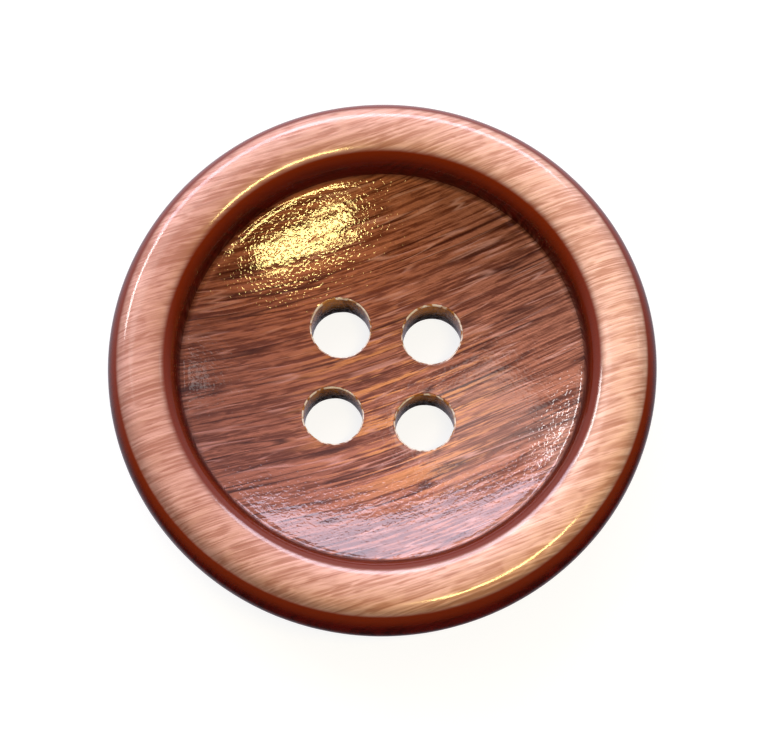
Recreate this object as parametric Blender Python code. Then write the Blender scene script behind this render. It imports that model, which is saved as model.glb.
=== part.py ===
"""Sew-on button with four thread holes, turned from one blank of streaked pearl polyester.

The button lies on its flat back at z = 0, centred on the Z axis. A polished, crowned rim
surrounds a dished well, and four bores with eased edges run through the floor of the well.
Everything is in metres, with +Z pointing out of the garment.
"""
import math

import bmesh
import bpy

MM = 0.001
LIGNE = 0.635 * MM                  # the trade's unit of button diameter, 1/40 inch

# Turned body
DIAMETER = 32 * LIGNE
HEIGHT = 4.2 * MM                   # from the flat back to the crest of the rim
WIDEST_HEIGHT = 2.78 * MM           # the level at which the outer side is widest
CREST_RADIUS = 8.9 * MM
WELL_RADIUS = 7.48 * MM             # the crease where the rim meets the floor of the well
CREASE_HEIGHT = 2.95 * MM
CENTRE_THICKNESS = 1.4 * MM         # material left under the lowest point of the well
BACK_RADIUS = 7.6 * MM              # the flat on which the button lies

# Roundness of the quarter curves: 2 is an ellipse, and more than 2 is squarer
INNER_SHOULDER = 2.5
OUTER_SHOULDER = 2.6
UNDERSIDE = 2.0

# Thread holes
HOLE_RADIUS = 1.10 * MM
HOLE_PITCH = 3.43 * MM              # centre to centre, along X and along Y
EDGE_EASE = 0.07 * MM               # width of the small 45 degree bevel at both mouths
CUTTER_EXTENSION = 0.4 * MM         # how far the bevels of the cutter run past the surface

# Resolution
SEGMENTS = 72
WELL_STEPS = 7
SHOULDER_STEPS = 7
UNDERSIDE_STEPS = 7
HOLE_SEGMENTS = 24
SHARP_ANGLE = math.radians(35)

# Material
PEARL_COLOUR = (0.60, 0.28, 0.18, 1.0)
PEARL_ROUGHNESS = 0.22
PEARL_METALLIC = 0.3


def well_height(radius):
    """Height of the floor of the well, a shallow paraboloid, at a radius from the axis."""
    depth = CREASE_HEIGHT - CENTRE_THICKNESS
    return CENTRE_THICKNESS + depth * (radius / WELL_RADIUS) ** 2


def quarter_curve(side, top, steps, roundness):
    """Points of a quarter superellipse from its side point to its top point, both included.

    The curve is upright at the side point and level at the top point.
    """
    width = side[0] - top[0]
    rise = top[1] - side[1]
    points = []
    for step in range(steps + 1):
        angle = math.pi / 2 * step / steps
        across = math.cos(angle) ** (2 / roundness)
        up = math.sin(angle) ** (2 / roundness)
        points.append((top[0] + width * across, side[1] + rise * up))
    return points


def turned_profile():
    """The half section, from the centre of the well over the rim to the centre of the back."""
    crease = (WELL_RADIUS, CREASE_HEIGHT)
    crest = (CREST_RADIUS, HEIGHT)
    widest = (DIAMETER / 2, WIDEST_HEIGHT)
    back_edge = (BACK_RADIUS, 0.0)

    radii = [WELL_RADIUS * step / WELL_STEPS for step in range(WELL_STEPS)]
    well = [(radius, well_height(radius)) for radius in radii]
    inner = quarter_curve(crease, crest, SHOULDER_STEPS, INNER_SHOULDER)
    outer = quarter_curve(widest, crest, SHOULDER_STEPS, OUTER_SHOULDER)
    under = quarter_curve(widest, back_edge, UNDERSIDE_STEPS, UNDERSIDE)
    return well + inner[:-1] + outer[::-1] + under[1:] + [(0.0, 0.0)]


def make_material():
    """Glossy pearl polyester in one even colour, slightly metallic because of its flakes."""
    material = bpy.data.materials.new("pearl_polyester")
    material.use_nodes = True
    shader = material.node_tree.nodes["Principled BSDF"]
    shader.inputs["Base Color"].default_value = PEARL_COLOUR
    shader.inputs["Roughness"].default_value = PEARL_ROUGHNESS
    shader.inputs["Metallic"].default_value = PEARL_METALLIC
    return material


def make_turned_body(name):
    """Spin the half section round the Z axis into one closed body."""
    shape = bmesh.new()
    points = [shape.verts.new((x, 0.0, z)) for x, z in turned_profile()]
    edges = [shape.edges.new(pair) for pair in zip(points, points[1:])]
    bmesh.ops.spin(
        shape,
        geom=points + edges,
        cent=(0, 0, 0),
        axis=(0, 0, 1),
        angle=2 * math.pi,
        steps=SEGMENTS,
    )
    bmesh.ops.remove_doubles(shape, verts=shape.verts, dist=0.001 * MM)
    bmesh.ops.recalc_face_normals(shape, faces=shape.faces)
    return finish_object(shape, name)


def add_hole_cutter(shape, centre_x, centre_y):
    """Add one closed hole cutter: a bore that flares at 45 degrees past the back and the well."""
    flare_radius = HOLE_RADIUS + EDGE_EASE + CUTTER_EXTENSION
    ring_rules = (
        (flare_radius, lambda from_axis: -CUTTER_EXTENSION),
        (HOLE_RADIUS, lambda from_axis: EDGE_EASE),
        (HOLE_RADIUS, lambda from_axis: well_height(from_axis) - EDGE_EASE),
        (flare_radius, lambda from_axis: well_height(from_axis) + CUTTER_EXTENSION),
    )
    rings = []
    for radius, height in ring_rules:
        ring = []
        for segment in range(HOLE_SEGMENTS):
            angle = 2 * math.pi * segment / HOLE_SEGMENTS
            x = centre_x + radius * math.cos(angle)
            y = centre_y + radius * math.sin(angle)
            ring.append(shape.verts.new((x, y, height(math.hypot(x, y)))))
        rings.append(ring)
    for low, high in zip(rings, rings[1:]):
        for segment in range(HOLE_SEGMENTS):
            after = (segment + 1) % HOLE_SEGMENTS
            shape.faces.new((low[segment], low[after], high[after], high[segment]))
    shape.faces.new(reversed(rings[0]))
    shape.faces.new(rings[-1])


def make_hole_cutters(name):
    """The four hole cutters on their square pitch, as separate bodies of one hidden object."""
    shape = bmesh.new()
    for side_x in (-1, 1):
        for side_y in (-1, 1):
            add_hole_cutter(shape, side_x * HOLE_PITCH / 2, side_y * HOLE_PITCH / 2)
    bmesh.ops.recalc_face_normals(shape, faces=shape.faces)
    cutters = finish_object(shape, name)
    cutters.hide_render = True
    cutters.display_type = "WIRE"
    return cutters


def finish_object(shape, name):
    """Turn a bmesh into a smooth-shaded object in the scene."""
    mesh = bpy.data.meshes.new(name)
    shape.to_mesh(mesh)
    shape.free()
    mesh.shade_smooth()
    mesh.set_sharp_from_angle(angle=SHARP_ANGLE)
    piece = bpy.data.objects.new(name, mesh)
    bpy.context.scene.collection.objects.link(piece)
    return piece


def main():
    for old in list(bpy.data.objects):
        bpy.data.objects.remove(old, do_unlink=True)

    button = make_turned_body("button")
    button.data.materials.append(make_material())

    drilling = button.modifiers.new("thread_holes", "BOOLEAN")
    drilling.operation = "DIFFERENCE"
    drilling.solver = "EXACT"
    drilling.object = make_hole_cutters("thread_hole_cutters")


main()
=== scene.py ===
"""The looks of the sew-on button: its fine turned surface, its streaked pearl and a small studio.

The blank that the button is turned from has streaks that all run one way. So one solid pattern,
placed in the button's own space, colours the rim, the well, the holes and the back.
Shapes are worked out in millimetres and the finished mesh is scaled to metres.
"""

import math

import bmesh
import bpy
import numpy as np
from mathutils import Matrix, Quaternion, Vector, noise


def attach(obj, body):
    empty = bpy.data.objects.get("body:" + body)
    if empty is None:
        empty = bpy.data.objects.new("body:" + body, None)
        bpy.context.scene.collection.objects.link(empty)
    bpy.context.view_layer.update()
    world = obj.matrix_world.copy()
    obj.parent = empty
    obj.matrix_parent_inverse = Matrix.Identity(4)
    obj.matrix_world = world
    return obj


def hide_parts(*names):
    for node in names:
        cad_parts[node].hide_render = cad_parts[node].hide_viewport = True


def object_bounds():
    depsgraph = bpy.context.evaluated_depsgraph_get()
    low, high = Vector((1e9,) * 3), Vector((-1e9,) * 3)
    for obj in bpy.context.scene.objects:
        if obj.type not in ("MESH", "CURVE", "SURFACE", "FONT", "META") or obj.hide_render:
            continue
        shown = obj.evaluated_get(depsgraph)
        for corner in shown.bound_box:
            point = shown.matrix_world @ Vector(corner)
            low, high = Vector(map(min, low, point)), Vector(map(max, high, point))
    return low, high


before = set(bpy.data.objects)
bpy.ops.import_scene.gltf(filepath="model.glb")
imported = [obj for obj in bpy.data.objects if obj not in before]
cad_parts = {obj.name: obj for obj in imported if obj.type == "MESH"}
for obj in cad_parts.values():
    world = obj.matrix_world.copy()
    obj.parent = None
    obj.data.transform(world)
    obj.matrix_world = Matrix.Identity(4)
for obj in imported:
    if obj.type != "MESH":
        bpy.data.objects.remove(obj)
cad_low, cad_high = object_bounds()

MM = 0.001

# Turned body, in millimetres: the outer sizes come from the frame
RADIUS = (cad_high.x - cad_low.x) / 2 / MM
HEIGHT = cad_high.z / MM
WIDEST_HEIGHT = 2.78
CREST_RADIUS = 8.9
WELL_RADIUS = 7.48
CREASE_HEIGHT = 2.95
CENTRE_THICKNESS = 1.4
BACK_RADIUS = 7.6
INNER_SHOULDER = 2.5
OUTER_SHOULDER = 2.6
UNDERSIDE = 2.0

# Thread holes, in millimetres
HOLE_RADIUS = 1.10
HOLE_PITCH = 3.43
EDGE_EASE = 0.07

# Marks left by the work, in millimetres: how deep and how wide. The floor's grain has a length,
# a width and a height, and the drill cuts a little wide everywhere.
POLISH_WAVES = (0.0035, 2.4)
POLISH_RIPPLES = (0.0010, 0.7)
FLOOR_WAVES = (0.012, 3.0)
FLOOR_DIMPLES = (0.0025, 0.35)
FLOOR_GRAIN_DEPTH = 0.0035
FLOOR_GRAIN_SIZE = (2.6, 0.30, 0.6)
LIP_CHIPS = (0.02, 0.22)
DRILL_DENTS = (0.018, 0.45)
DRILL_SCRATCHES = (0.006, 0.16)
DRILL_OVERSIZE = 0.0018

# The turning tool's uneven groove along the crease, in millimetres
GROOVE_WIDTH = 0.25
GROOVE_MARKS = (0.03, 0.7)

# Resolution: points round the button, round one hole, and rings in each stretch
ROUND_POINTS = 384
HOLE_POINTS = ROUND_POINTS // 2
WELL_RINGS = 40
INNER_RINGS = 24
OUTER_RINGS = 24
UNDERSIDE_RINGS = 18
BACK_RINGS = 8
AROUND_HOLE_RINGS = 11
EASE_RINGS = 4
BORE_RINGS = 10

SHARP_ANGLE = math.radians(40)

# How far the streaks are turned from +X
STREAK_ANGLE = math.radians(23.5)


# ---------------------------------------------------------------- shape


def well_height(points):
    """Height of the dished floor of the well under each point."""
    from_axis = np.hypot(points[:, 0], points[:, 1])
    depth = CREASE_HEIGHT - CENTRE_THICKNESS
    return CENTRE_THICKNESS + depth * (from_axis / WELL_RADIUS) ** 2


def quarter_curve(side, top, steps, roundness):
    """Points (radius, height) of a quarter superellipse, from its upright side to its level top."""
    angles = np.linspace(0, math.pi / 2, steps + 1)
    across = np.clip(np.cos(angles), 0, 1) ** (2 / roundness)
    up = np.clip(np.sin(angles), 0, 1) ** (2 / roundness)
    radii = top[0] + (side[0] - top[0]) * across
    heights = side[1] + (top[1] - side[1]) * up
    return np.column_stack([radii, heights])


def circle(count, radius, centre=(0, 0)):
    """Points of a circle, anticlockwise from the direction -45 degrees."""
    angles = np.arange(count) / count * 2 * math.pi - math.pi / 4
    return np.column_stack([np.cos(angles), np.sin(angles)]) * radius + np.array(centre)


def square_outline():
    """The square that holds the four hole blocks, with its points on evenly spaced rays."""
    rays = circle(ROUND_POINTS, 1.0)
    return rays * HOLE_PITCH / np.abs(rays).max(axis=1, keepdims=True)


def block_outline():
    """The square block round the hole at +X +Y, anticlockwise from its corner on the X axis."""
    steps = HOLE_POINTS // 4
    grow = np.tan(np.arange(steps) / steps * math.pi / 4)
    shrink = np.tan((steps - np.arange(steps)) / steps * math.pi / 4)
    far, near = np.ones(steps), np.zeros(steps)
    sides = [(far, grow), (shrink, far), (near, shrink), (grow, near)]
    return np.vstack([np.column_stack(side) for side in sides]) * HOLE_PITCH


def raise_to(points, heights):
    """Give flat points their heights."""
    return np.column_stack([points, np.broadcast_to(heights, len(points))])


class Surface:
    """Closed rings of points, joined by quads, each strip with its own material number."""

    def __init__(self):
        self.points = []
        self.faces = []
        self.materials = []

    def add_strip(self, rings, material):
        count = len(rings[0])
        start = len(self.points)
        self.points.extend(np.vstack(rings).tolist())
        for row in range(len(rings) - 1):
            base = start + row * count
            for column in range(count):
                after = (column + 1) % count
                low, high = base, base + count
                self.faces.append((low + column, low + after, high + after, high + column))
                self.materials.append(material)

    def to_bmesh(self):
        shape = bmesh.new()
        verts = [shape.verts.new(point) for point in self.points]
        for corners, material in zip(self.faces, self.materials):
            face = shape.faces.new([verts[corner] for corner in corners])
            face.material_index = material
            face.smooth = True
        bmesh.ops.remove_doubles(shape, verts=shape.verts, dist=0.0005)
        bmesh.ops.recalc_face_normals(shape, faces=shape.faces)
        return shape


POLISHED, SATIN, DRILLED, LIP = range(4)


def between(first, last, shares):
    """Rings blended from one ring of points to another."""
    return [first * (1 - share) + last * share for share in shares]


def add_well_and_rim(surface):
    """The floor from the square out to the crease, then the rim, the outer side and the back."""
    square = square_outline()
    crease = circle(ROUND_POINTS, WELL_RADIUS)
    flat_rings = between(square, crease, np.linspace(0, 1, WELL_RINGS + 1))
    surface.add_strip([raise_to(ring, well_height(ring)) for ring in flat_rings], SATIN)

    crest = (CREST_RADIUS, HEIGHT)
    widest = (RADIUS, WIDEST_HEIGHT)
    inner = quarter_curve((WELL_RADIUS, CREASE_HEIGHT), crest, INNER_RINGS, INNER_SHOULDER)
    outer = quarter_curve(widest, crest, OUTER_RINGS, OUTER_SHOULDER)[::-1]
    under = quarter_curve(widest, (BACK_RADIUS, 0), UNDERSIDE_RINGS, UNDERSIDE)
    profile = np.vstack([inner, outer[1:], under[1:]])
    turned = [raise_to(circle(ROUND_POINTS, radius), height) for radius, height in profile]

    back_shares = np.linspace(0, 1, BACK_RINGS + 1)[1:]
    back = between(circle(ROUND_POINTS, BACK_RADIUS), square, back_shares)
    surface.add_strip(turned + [raise_to(ring, 0) for ring in back], POLISHED)


def add_hole(surface, quarter_turns):
    """One hole with the block of floor and of back round it."""
    centre = (HOLE_PITCH / 2, HOLE_PITCH / 2)
    outline = block_outline()
    mouth = circle(HOLE_POINTS, HOLE_RADIUS + EDGE_EASE, centre)
    bore = circle(HOLE_POINTS, HOLE_RADIUS, centre)
    turn = np.array(Matrix.Rotation(quarter_turns * math.pi / 2, 2))

    shares = np.linspace(0, 1, AROUND_HOLE_RINGS + 1)
    around = between(outline, mouth, shares)
    floor = [raise_to(ring, well_height(ring)) for ring in around]
    back = [raise_to(ring, 0) for ring in around[::-1]]

    walls = []
    for share in np.linspace(0, 1, EASE_RINGS + 1)[1:]:
        inward, down = math.sin(share * math.pi / 2), 1 - math.cos(share * math.pi / 2)
        ring = mouth + (bore - mouth) * inward
        walls.append(raise_to(ring, well_height(ring) - EDGE_EASE * down))

    # The back's edge is eased as deeply as the mouth is under the floor
    eased_bottom = [ring.copy() for ring in walls]
    for ring in eased_bottom:
        ring[:, 2] = well_height(ring[:, :2]) - ring[:, 2]
    top, bottom = walls[-1], eased_bottom[-1]
    middle = between(top, bottom, np.linspace(0, 1, BORE_RINGS + 1)[1:-1])
    lip = [floor[-1]] + walls
    drilled = [top] + middle + eased_bottom[::-1] + [back[0]]

    for rings, material in ((floor, SATIN), (lip, LIP), (drilled, DRILLED), (back, POLISHED)):
        turned = [np.column_stack([ring[:, :2] @ turn.T, ring[:, 2]]) for ring in rings]
        surface.add_strip(turned, material)


def marks(place, depth, width, seed):
    """Smooth noise between -depth and depth, whose bumps are about as wide as given."""
    return depth * noise.noise(place / width + Vector((seed * 7.1, seed * 3.3, seed * 5.7)))


def relief(place, material):
    """How far the worked surface lies under the ideal one, in millimetres, never above it."""
    if material == POLISHED:
        depth = marks(place, *POLISH_WAVES, 1) + marks(place, *POLISH_RIPPLES, 2)
        return max(POLISH_WAVES[0] + depth, 0)
    if material == SATIN:
        turned = Matrix.Rotation(-STREAK_ANGLE, 3, "Z") @ place
        grain = Vector(along / size for along, size in zip(turned, FLOOR_GRAIN_SIZE))
        depth = marks(place, *FLOOR_WAVES, 3) + FLOOR_GRAIN_DEPTH * noise.noise(grain)
        depth += marks(place, *FLOOR_DIMPLES, 4)
        near_crease = (math.hypot(place.x, place.y) - WELL_RADIUS) / GROOVE_WIDTH + 1
        groove = (GROOVE_MARKS[0] + marks(place, *GROOVE_MARKS, 7)) * max(near_crease, 0)
        return max(FLOOR_WAVES[0] + depth, 0) + groove
    if material == LIP:
        return max(marks(place, *LIP_CHIPS, 8), 0)
    dents = max(DRILL_OVERSIZE + marks(place, *DRILL_DENTS, 5), 0)
    return dents + abs(marks(place, *DRILL_SCRATCHES, 6))


def make_button():
    surface = Surface()
    add_well_and_rim(surface)
    for quarter_turns in range(4):
        add_hole(surface, quarter_turns)
    shape = surface.to_bmesh()
    shape.normal_update()
    moves = []
    for vert in shape.verts:
        materials = {face.material_index for face in vert.link_faces}
        depth = min(relief(vert.co, material) for material in materials)
        moves.append(vert.normal * -depth)
    for vert, move in zip(shape.verts, moves):
        vert.co += move
    bmesh.ops.scale(shape, vec=(MM, MM, MM), verts=shape.verts)
    mesh = bpy.data.meshes.new("button_surface")
    shape.to_mesh(mesh)
    shape.free()
    mesh.set_sharp_from_angle(angle=SHARP_ANGLE)
    piece = bpy.data.objects.new("button_surface", mesh)
    bpy.context.scene.collection.objects.link(piece)
    return piece


# ---------------------------------------------------------------- materials


class Graph:
    """Short ways to add nodes to one material."""

    def __init__(self, name):
        self.material = bpy.data.materials.new(name)
        self.material.use_nodes = True
        self.tree = self.material.node_tree
        self.shader = self.tree.nodes["Principled BSDF"]

    def feed(self, socket, value):
        if isinstance(value, bpy.types.NodeSocket):
            self.tree.links.new(value, socket)
        else:
            socket.default_value = value

    def node(self, kind, inputs=None, **settings):
        node = self.tree.nodes.new(kind)
        for key, value in settings.items():
            setattr(node, key, value)
        for key, value in (inputs or {}).items():
            self.feed(node.inputs[key], value)
        return node

    def math(self, operation, first, second=0.0):
        node = self.node("ShaderNodeMath", {0: first, 1: second}, operation=operation)
        return node.outputs["Value"]

    def vector(self, operation, first, second):
        node = self.node("ShaderNodeVectorMath", {0: first, 1: second}, operation=operation)
        return node.outputs["Vector"]

    def measure(self, operation, *vectors):
        node = self.node("ShaderNodeVectorMath", dict(enumerate(vectors)), operation=operation)
        return node.outputs["Value"]

    def noise(self, place, detail, scale=1.0, bend=0.0):
        inputs = {"Vector": place, "Detail": detail, "Scale": scale, "Distortion": bend}
        return self.node("ShaderNodeTexNoise", inputs).outputs["Fac"]

    def spread(self, value, low, high, to_low=0.0, to_high=1.0):
        inputs = {"Value": value, "From Min": low, "From Max": high}
        inputs.update({"To Min": to_low, "To Max": to_high})
        node = self.node("ShaderNodeMapRange", inputs, interpolation_type="SMOOTHSTEP")
        return node.outputs["Result"]

    def mix(self, share, first, second, blend="MIX"):
        node = self.node("ShaderNodeMix", data_type="RGBA", blend_type=blend)
        self.feed(node.inputs["Factor"], share)
        self.feed(node.inputs["A"], first)
        self.feed(node.inputs["B"], second)
        return node.outputs["Result"]

    def mix_value(self, share, first, second):
        node = self.node("ShaderNodeMix", data_type="FLOAT")
        self.feed(node.inputs["Factor"], share)
        self.feed(node.inputs["A"], first)
        self.feed(node.inputs["B"], second)
        return node.outputs["Result"]

    def bump(self, height, distance, normal=None):
        inputs = {"Height": height, "Strength": 1.0, "Distance": distance}
        node = self.node("ShaderNodeBump", inputs)
        if normal is not None:
            self.feed(node.inputs["Normal"], normal)
        return node.outputs["Normal"]


# Streaks of the blank: length and width in millimetres, then the noise's detail and its seed
BANDS = (16.0, 0.75, 1.0, 0.0)
LINES = (11.0, 0.16, 1.0, 3.1)
HAIRS = (5.5, 0.075, 1.0, 5.3)
FLECK_SEED = 8.2
GOLD_STREAKS = (12.0, 0.30, 1.0, 4.7)

# Thin lines: length and distance apart in millimetres, then how far from the middle of the
# noise a line reaches, and the noise's seed
VEINS = (9.0, 0.45, 0.045, 6.4)
BRIGHT_SEED = 9.6

# What breaks the lines up: a noise shorter than they are, and the range where they fade out
BREAK_LENGTH = 0.4
BREAK_TONES = (0.45, 0.60)

# The resin's flow bends the streaks: bends per millimetre, and how far across and down they go
FLOW_SCALE = 0.09
FLOW_REACH = (0.0, 0.9, 0.8)

# Where the golden streaks gather into a painted pearl sheen, in millimetres, and how far they reach
GOLD_SHEEN_CENTRE = (0.7, -1.2, 1.5)
GOLD_SHEEN_REACH = 5.0
GOLD_SHEEN_CORE = 0.3 * GOLD_SHEEN_REACH

# Parts of a noise's range over which one colour turns into the next
PEARL_TONES = (0.22, 0.78)
GOLD_TONES = (0.48, 0.66)
BODY_TONES = (0.32, 0.68)
CHIP_GLINT_TONES = (0.38, 0.55)
PIT_TONES = (0.44, 0.72)

# Painted shade on the left: the pearl is multiplied by this tint at -X, which fades out towards +X
LEFT_SHADE_TINT = (0.72, 0.60, 0.62, 1)
LEFT_SHADE_END = 1.2 * RADIUS

# Size of the pale lip chips, which are partly a painted highlight, in millimetres
CHIP_GLINT_SIZE = 0.28
RESIN_IOR = 1.5
COAT_IOR = 1.6


def grain_space(graph):
    """Places in millimetres: as they are, and with X along the streaks, bent by the flow."""
    place = graph.node("ShaderNodeTexCoord").outputs["Object"]
    in_mm = graph.vector("MULTIPLY", place, (1 / MM, 1 / MM, 1 / MM))
    rotate = graph.node(
        "ShaderNodeVectorRotate",
        {"Vector": in_mm, "Angle": -STREAK_ANGLE},
        rotation_type="Z_AXIS",
    )
    along = rotate.outputs["Vector"]
    flow = graph.node("ShaderNodeTexNoise", {"Vector": along, "Scale": FLOW_SCALE, "Detail": 0.0})
    centred = graph.vector("SUBTRACT", flow.outputs["Color"], (0.5, 0.5, 0.5))
    shift = graph.vector("MULTIPLY", centred, FLOW_REACH)
    return in_mm, graph.vector("ADD", along, shift)


def streaks(graph, along, length, width, detail, seed, bend=0.0):
    """Noise drawn out along the streaks, as long and as wide as given in millimetres."""
    drawn = graph.vector("MULTIPLY", along, (1 / length, 1 / width, 1 / length))
    moved = graph.vector("ADD", drawn, (seed, seed * 1.7, seed * 2.3))
    return graph.noise(moved, detail, bend=bend)


def thin_lines(graph, along, length, apart, half_width, seed):
    """Sparse thin lines where a drawn-out noise passes 0.5, broken up by another noise."""
    passing = graph.math("SUBTRACT", streaks(graph, along, length, apart, 1.0, seed), 0.5)
    thin = graph.spread(graph.math("ABSOLUTE", passing), 0.0, half_width, 1.0, 0.0)
    breaks = streaks(graph, along, length * BREAK_LENGTH, apart, 0.0, seed + 1.3)
    return graph.math("MULTIPLY", thin, graph.spread(breaks, *BREAK_TONES))


def weigh(graph, parts):
    """The sum of several noises round 0.5, each with its own weight, still round 0.5."""
    total = 0.5
    for value, weight in parts:
        centred = graph.math("SUBTRACT", value, 0.5)
        total = graph.math("ADD", total, graph.math("MULTIPLY", centred, weight))
    return total


def streak_pattern(graph, along, look):
    """The tone of the streaks round 0.5, and the shares of dark veins, bright lines and gold."""
    bands = streaks(graph, along, *BANDS)
    lines = streaks(graph, along, *LINES)
    hairs = streaks(graph, along, *HAIRS)
    flecks = streaks(graph, along, *look["fleck_size"], 1.0, FLECK_SEED, look["fleck_bend"])
    tone = weigh(graph, zip((bands, lines, hairs, flecks), look["tone_weights"]))
    vein = thin_lines(graph, along, *VEINS)
    bright = thin_lines(graph, along, *look["bright_lines"], BRIGHT_SEED)
    golden = streaks(graph, along, *GOLD_STREAKS)
    gold = weigh(graph, ((golden, 1.0), (hairs, 0.7), (flecks, 0.5)))
    return tone, vein, bright, graph.spread(gold, *GOLD_TONES)


def make_pearl(name, look):
    """Streaked pearl polyester; look holds the numbers that differ between worked surfaces."""
    graph = Graph(name)
    in_mm, along = grain_space(graph)
    split = graph.node("ShaderNodeSeparateXYZ", {"Vector": in_mm})
    across, height = split.outputs["X"], split.outputs["Z"]
    tone, vein, bright, gold = streak_pattern(graph, along, look)
    # Painted sheen, partly: the golden streaks of the blank are strong only round one spot of the
    # floor
    from_gold_sheen = graph.measure("DISTANCE", in_mm, GOLD_SHEEN_CENTRE)
    near_gold_sheen = graph.spread(from_gold_sheen, GOLD_SHEEN_CORE, GOLD_SHEEN_REACH, 1.0, 0.0)
    gold = graph.math("MULTIPLY", gold, near_gold_sheen)

    # Level faces show the pearl, steep ones amber and near-black red: partly the resin under the
    # cut pearl, and partly painted shade on steep walls
    normal = graph.node("ShaderNodeTexCoord").outputs["Normal"]
    upright = graph.node("ShaderNodeSeparateXYZ", {"Vector": normal}).outputs["Z"]
    from_axis = graph.measure("LENGTH", graph.vector("MULTIPLY", in_mm, (1, 1, 0)))
    # Painted shade in the well: inside the crest the upright part is lowered, so the inner wall
    # turns darker, and outside it the outer side turns lighter
    outside = graph.math("SUBTRACT", from_axis, CREST_RADIUS)
    upright = graph.math("ADD", upright, graph.math("MULTIPLY", outside, look["recess_shade_gain"]))
    leaning = graph.spread(upright, look["steep"], look["leaning"])
    level = graph.spread(upright, look["leaning"], look["level"])

    pearl = graph.mix(graph.spread(tone, *PEARL_TONES), look["dark"], look["light"])
    pearl = graph.mix(graph.math("MULTIPLY", vein, look["vein_share"]), pearl, look["vein"])
    pearl = graph.mix(graph.math("MULTIPLY", gold, look["gold_share"]), pearl, look["gold"])
    pearl = graph.mix(graph.math("MULTIPLY", bright, look["bright_share"]), pearl, look["bright"])
    # Painted shade: the pearl darkens towards -X
    left_shade = graph.spread(across, -RADIUS, LEFT_SHADE_END, 1.0, 0.0)
    pearl = graph.mix(left_shade, pearl, LEFT_SHADE_TINT, blend="MULTIPLY")

    body = graph.mix(graph.spread(tone, *BODY_TONES), look["dark_body_and_shading"], look["body"])
    # Painted light and shade in the holes: the bore walls are amber near the mouth and near-black
    # lower down
    if "bore_bottom_shade" in look:
        body = graph.mix(graph.spread(height, *look["bore_shade_heights"]), look["bore_bottom_shade"], body)
    # Pale chips on the hole lips, partly a painted highlight along the mouths
    if "chips_and_glint" in look:
        chips_and_glint = graph.spread(graph.noise(in_mm, 1.0, 1 / CHIP_GLINT_SIZE), *CHIP_GLINT_TONES)
        body = graph.mix(chips_and_glint, body, look["chips_and_glint"])

    # Painted shade, partly: steep and leaning faces take the dark body and amber instead of the
    # pearl
    colour = graph.mix(level, graph.mix(leaning, body, look["amber"]), pearl)
    amber_metal = graph.math("MULTIPLY", leaning, look["amber_metal"])
    metal = graph.mix_value(level, amber_metal, look["metal"])

    shader = graph.shader
    graph.feed(shader.inputs["Base Color"], colour)
    graph.feed(shader.inputs["Metallic"], metal)
    shader.inputs["Roughness"].default_value = look["pearl_roughness"]
    shader.inputs["IOR"].default_value = RESIN_IOR
    shader.inputs["Specular IOR Level"].default_value = 0.0
    shader.inputs["Coat Weight"].default_value = 1.0
    shader.inputs["Coat Roughness"].default_value = look["coat_roughness"]
    shader.inputs["Coat IOR"].default_value = COAT_IOR

    pebbles = graph.noise(in_mm, 1.0, 1 / look["pebble_size"])
    pitted = graph.spread(pebbles, *PIT_TONES, 1.0, 0.0)
    skin = graph.bump(pitted, look["pebble_height"] * MM)
    under = graph.bump(tone, look["streak_height"] * MM, skin)
    graph.feed(shader.inputs["Normal"], under)
    graph.feed(shader.inputs["Coat Normal"], skin)
    return graph.material


# Each look: weights, sizes in millimetres, shares, limits of the upright part of the normal,
# and colours; "steep", "leaning" and "level" say where amber and then pearl take over.
# The amber and body colours of steep faces are partly painted shade.
POLISHED_LOOK = {
    "tone_weights": (0.4, 0.6, 1.0, 0.9),
    "fleck_size": (1.0, 0.20),
    "fleck_bend": 0.9,
    "vein_share": 0.35,
    "gold_share": 0.15,
    "bright_share": 0.5,
    "bright_lines": (2.4, 0.9, 0.10),
    "recess_shade_gain": 0.07,
    "steep": 0.30,
    "leaning": 0.80,
    "level": 0.92,
    "dark": (0.67, 0.36, 0.24, 1),
    "light": (0.99, 0.68, 0.53, 1),
    "bright": (0.97, 0.66, 0.48, 1),
    "vein": (0.42, 0.15, 0.08, 1),
    "gold": (0.90, 0.50, 0.24, 1),
    # Painted shade, partly: amber, body and dark body darken the steep outer side and inner wall
    "amber": (0.175, 0.018, 0.0015, 1),
    "body": (0.065, 0.002, 0.0006, 1),
    "dark_body_and_shading": (0.035, 0.0010, 0.0004, 1),
    "amber_metal": 0.2,
    "metal": 0.9,
    "pearl_roughness": 0.66,
    "coat_roughness": 0.13,
    "pebble_size": 0.35,
    "pebble_height": 0.0012,
    "streak_height": 0.010,
}

SATIN_LOOK = {
    "tone_weights": (0.45, 0.7, 1.05, 0.9),
    "fleck_size": (0.7, 0.10),
    "fleck_bend": 0.6,
    "vein_share": 0.85,
    "gold_share": 0.9,
    "bright_share": 0.6,
    "bright_lines": (5.0, 0.38, 0.040),
    "bright": (0.70, 0.38, 0.29, 1),
    "recess_shade_gain": 0.0,
    "steep": 0.2,
    "leaning": 0.6,
    "level": 0.9,
    "dark": (0.17, 0.046, 0.020, 1),
    "light": (0.46, 0.180, 0.100, 1),
    "vein": (0.06, 0.010, 0.003, 1),
    "gold": (0.74, 0.33, 0.11, 1),
    "amber": (0.15, 0.035, 0.012, 1),
    "body": (0.050, 0.0008, 0.0004, 1),
    "dark_body_and_shading": (0.050, 0.0008, 0.0004, 1),
    "amber_metal": 0.5,
    "metal": 0.8,
    "pearl_roughness": 0.55,
    "coat_roughness": 0.07,
    "pebble_size": 0.13,
    "pebble_height": 0.0025,
    "streak_height": 0.012,
}

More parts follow.
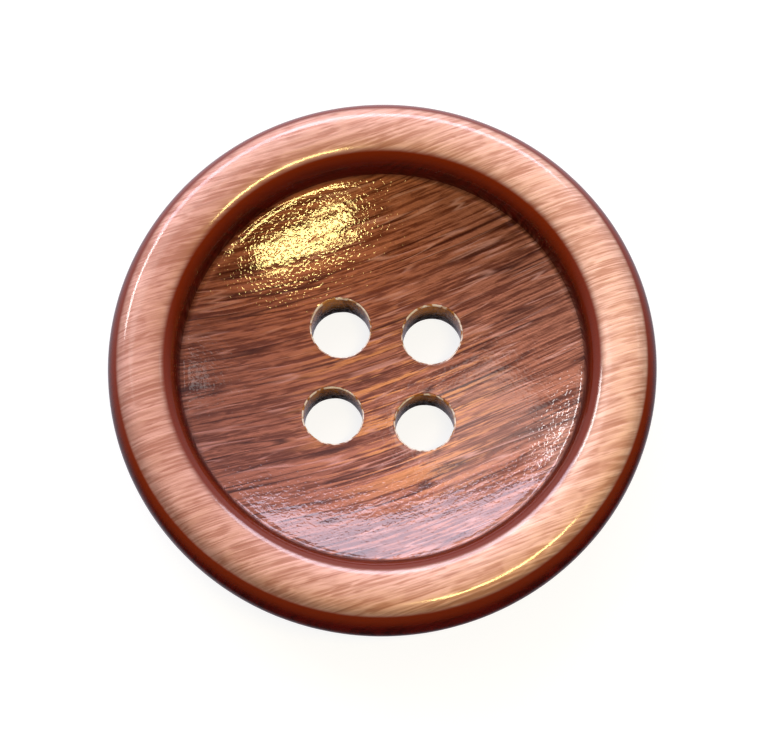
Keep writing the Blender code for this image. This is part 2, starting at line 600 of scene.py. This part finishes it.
DRILLED_LOOK = {
    **SATIN_LOOK,
    # Painted light and shade: the bore walls glow amber near the mouth and go near-black lower down
    "body": (0.50, 0.20, 0.05, 1),
    "dark_body_and_shading": (0.30, 0.11, 0.025, 1),
    "bore_bottom_shade": (0.012, 0.004, 0.002, 1),
    "bore_shade_heights": (0.35, 1.45),
    "coat_roughness": 0.08,
    "pebble_size": 0.14,
    "pebble_height": 0.016,
}

LIP_LOOK = {
    **DRILLED_LOOK,
    "steep": 0.90,
    "leaning": 0.98,
    "level": 1.0,
    # Pale chips, partly a painted highlight on the hole mouths
    "chips_and_glint": (0.90, 0.78, 0.66, 1),
    "coat_roughness": 0.15,
}


# ---------------------------------------------------------------- studio


CAMERA_AZIMUTH = 7.5
CAMERA_ELEVATION = 73.5
CAMERA_ROLL = -3.0
CAMERA_DISTANCE = 0.122
FRAME_WIDTH = 0.02803       # what the picture's width spans at the button
AIM = Vector((-0.10, -0.42, 2.78)) * MM


def direction(azimuth, elevation):
    """The unit vector towards a camera or a light. Azimuth 0 is at -Y, and 90 is at +X."""
    turn, rise = math.radians(azimuth), math.radians(elevation)
    flat = math.cos(rise)
    return Vector((math.sin(turn) * flat, -math.cos(turn) * flat, math.sin(rise)))


def make_camera():
    data = bpy.data.cameras.new("camera")
    data.lens = data.sensor_width * CAMERA_DISTANCE / FRAME_WIDTH
    data.clip_start = 0.005
    data.clip_end = 5.0
    camera = bpy.data.objects.new("camera", data)
    bpy.context.scene.collection.objects.link(camera)
    towards = direction(CAMERA_AZIMUTH, CAMERA_ELEVATION)
    roll = Quaternion((0, 0, 1), math.radians(CAMERA_ROLL))
    camera.location = AIM + towards * CAMERA_DISTANCE
    camera.rotation_mode = "QUATERNION"
    camera.rotation_quaternion = (-towards).to_track_quat("-Z", "Y") @ roll
    bpy.context.scene.camera = camera


def make_light(name, azimuth, elevation, wide, tall, radiance, colour, distance=0.35, roll=0):
    """A soft box aimed at the button; all angles are in degrees as the button sees them."""
    data = bpy.data.lights.new(name, "AREA")
    data.shape = "RECTANGLE"
    data.size = 2 * distance * math.tan(math.radians(wide) / 2)
    data.size_y = 2 * distance * math.tan(math.radians(tall) / 2)
    data.energy = math.pi * data.size * data.size_y * radiance
    data.color = colour
    light = bpy.data.objects.new(name, data)
    bpy.context.scene.collection.objects.link(light)
    towards = direction(azimuth, elevation)
    light.location = towards * distance
    light.rotation_mode = "QUATERNION"
    turn = Quaternion((0, 0, 1), math.radians(roll))
    light.rotation_quaternion = (-towards).to_track_quat("-Z", "Y") @ turn


def make_lights():
    make_light(
        "warm_lamp", azimuth=57, elevation=71.3, wide=21, tall=4.2, radiance=38.0,
        colour=(1.0, 0.78, 0.28), roll=-24
    )
    make_light(
        "back_window", azimuth=192, elevation=37, wide=62, tall=13, radiance=6.8,
        colour=(0.82, 0.79, 1.0)
    )
    make_light(
        "left_lamp", azimuth=237, elevation=39.5, wide=16, tall=6, radiance=16.0,
        colour=(1.0, 1.0, 1.0)
    )
    make_light(
        "right_lamp", azimuth=124, elevation=49, wide=6, tall=4, radiance=2.0,
        colour=(1.0, 0.95, 0.92)
    )
    make_light(
        "ceiling", azimuth=218, elevation=57, wide=24, tall=21, radiance=1.60,
        colour=(1.0, 0.93, 0.87), distance=0.2
    )


# Room: how much the brightness grows towards the back, the right, and away from the horizon
TOWARDS_BACK = 0.85
TOWARDS_RIGHT = -0.18
FROM_HORIZON = 0.17
DIM_LIGHT = (0.012, 0.012, 0.012, 1)
WINDOW_LIGHT = (0.95, 0.86, 0.98, 1)
WINDOW_LEVEL = 0.9


def make_world():
    """Dim surroundings, brighter at the back, and a little on the left, overhead and below."""
    world = bpy.data.worlds.new("room")
    bpy.context.scene.world = world
    world.use_nodes = True
    tree = world.node_tree
    background = tree.nodes["Background"]
    place = tree.nodes.new("ShaderNodeTexCoord")
    split = tree.nodes.new("ShaderNodeSeparateXYZ")
    tree.links.new(place.outputs["Generated"], split.inputs[0])
    lean = tree.nodes.new("ShaderNodeMath")
    lean.operation = "MULTIPLY_ADD"
    tree.links.new(split.outputs["Y"], lean.inputs[0])
    lean.inputs[1].default_value = TOWARDS_BACK
    sideways = tree.nodes.new("ShaderNodeMath")
    sideways.operation = "MULTIPLY"
    tree.links.new(split.outputs["X"], sideways.inputs[0])
    sideways.inputs[1].default_value = TOWARDS_RIGHT
    tree.links.new(sideways.outputs[0], lean.inputs[2])
    from_horizon = tree.nodes.new("ShaderNodeMath")
    from_horizon.operation = "ABSOLUTE"
    tree.links.new(split.outputs["Z"], from_horizon.inputs[0])
    total = tree.nodes.new("ShaderNodeMath")
    total.operation = "MULTIPLY_ADD"
    tree.links.new(from_horizon.outputs[0], total.inputs[0])
    total.inputs[1].default_value = FROM_HORIZON
    tree.links.new(lean.outputs[0], total.inputs[2])
    ramp = tree.nodes.new("ShaderNodeValToRGB")
    tree.links.new(total.outputs[0], ramp.inputs["Fac"])
    low, high = ramp.color_ramp.elements
    low.position, low.color = 0.0, DIM_LIGHT
    high.position, high.color = WINDOW_LEVEL, WINDOW_LIGHT
    tree.links.new(ramp.outputs["Color"], background.inputs["Color"])


# Floor, in metres: rings of its flat part, and the outer edge of the cove round it
FLAT_RINGS = (0.0, 0.05, 0.15, 0.30)
COVE_RADIUS = 0.65
COVE_HEIGHT = 0.45
COVE_STEPS = 12
FLOOR_SPOKES = 96

FLOOR_GREY = 0.26
FLOOR_ROUGHNESS = 0.9
FLOOR_GLOW = 0.85


def make_floor():
    """A pale round floor that curves up into a backdrop on all sides."""
    shape = bmesh.new()
    flat = [(radius, 0.0) for radius in FLAT_RINGS]
    cove = quarter_curve((COVE_RADIUS, COVE_HEIGHT), flat[-1], COVE_STEPS, 2.0)[::-1]
    rings = flat + cove[1:].tolist()
    points = [shape.verts.new((radius, 0, height)) for radius, height in rings]
    edges = [shape.edges.new(pair) for pair in zip(points, points[1:])]
    full_turn = {"cent": (0, 0, 0), "axis": (0, 0, 1), "angle": 2 * math.pi}
    bmesh.ops.spin(shape, geom=points + edges, steps=FLOOR_SPOKES, **full_turn)
    bmesh.ops.remove_doubles(shape, verts=shape.verts, dist=1e-6)
    bmesh.ops.recalc_face_normals(shape, faces=shape.faces)
    for face in shape.faces:
        face.smooth = True
    mesh = bpy.data.meshes.new("floor")
    shape.to_mesh(mesh)
    shape.free()
    floor = bpy.data.objects.new("floor", mesh)
    bpy.context.scene.collection.objects.link(floor)
    floor.visible_glossy = False
    floor.visible_shadow = False

    graph = Graph("pale_floor")
    graph.shader.inputs["Base Color"].default_value = (FLOOR_GREY, FLOOR_GREY, FLOOR_GREY, 1)
    graph.shader.inputs["Roughness"].default_value = FLOOR_ROUGHNESS
    graph.shader.inputs["Specular IOR Level"].default_value = 0.0
    graph.shader.inputs["Emission Color"].default_value = (1, 1, 1, 1)
    graph.shader.inputs["Emission Strength"].default_value = FLOOR_GLOW
    mesh.materials.append(graph.material)
    return floor


# ---------------------------------------------------------------- assembly


make_camera()
make_lights()
make_world()
make_floor()
bpy.context.scene.view_settings.view_transform = "Standard"

button = make_button()
for worked_name, worked_look in (
    ("pearl_polished", POLISHED_LOOK),
    ("pearl_satin", SATIN_LOOK),
    ("pearl_drilled", DRILLED_LOOK),
    ("pearl_lip", LIP_LOOK),
):
    button.data.materials.append(make_pearl(worked_name, worked_look))
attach(button, "root")
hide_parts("button")
